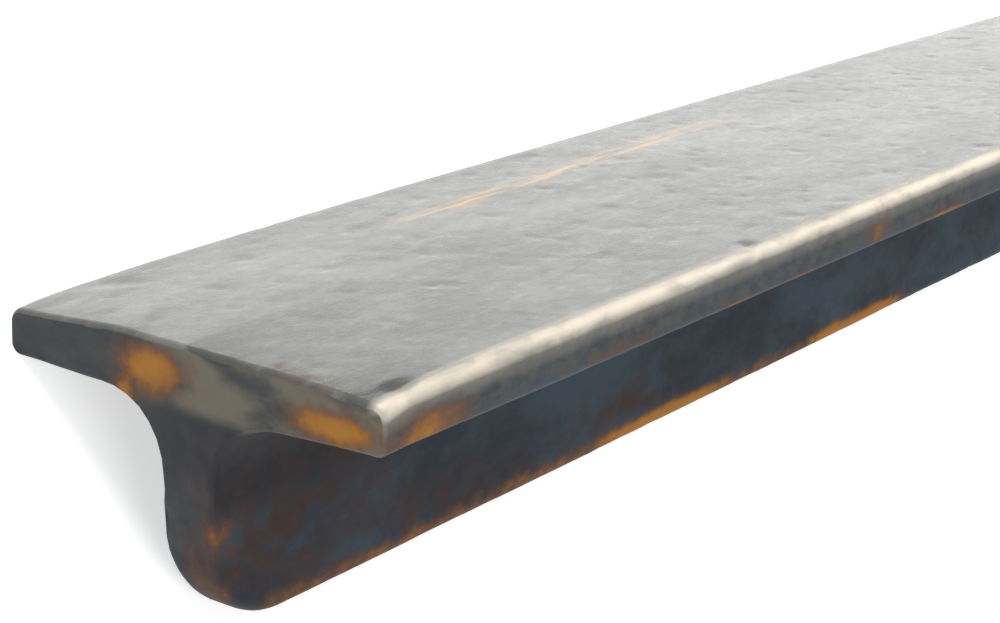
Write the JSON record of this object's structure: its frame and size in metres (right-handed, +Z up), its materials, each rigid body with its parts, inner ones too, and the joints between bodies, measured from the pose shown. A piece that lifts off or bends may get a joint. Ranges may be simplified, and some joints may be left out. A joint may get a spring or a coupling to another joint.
{
  "type": "steel t-bar",
  "caption": "Length of hot-rolled steel T section with a wide flange, a short tapered web, rounded roots and edges, one sheared end and one square end.",
  "frame": {"origin": "on the floor, under the middle of the bar's box", "axes": "+Z up from the floor; X along the bar, with the sheared end at -X and the square end at +X; the flange's outer face looks up and towards +Y, and the bar rests on one toe of the flange and on the toe of the web"},
  "size_m": [1, 0.0326, 0.0323],
  "materials": {
    "mill_scale_steel": "dark grey hot-rolled mill scale with a semi-gloss flange and patches of orange rust"
  },
  "bodies": {
    "root": {"t_bar": "mill_scale_steel"}
  },
  "joints": []
}
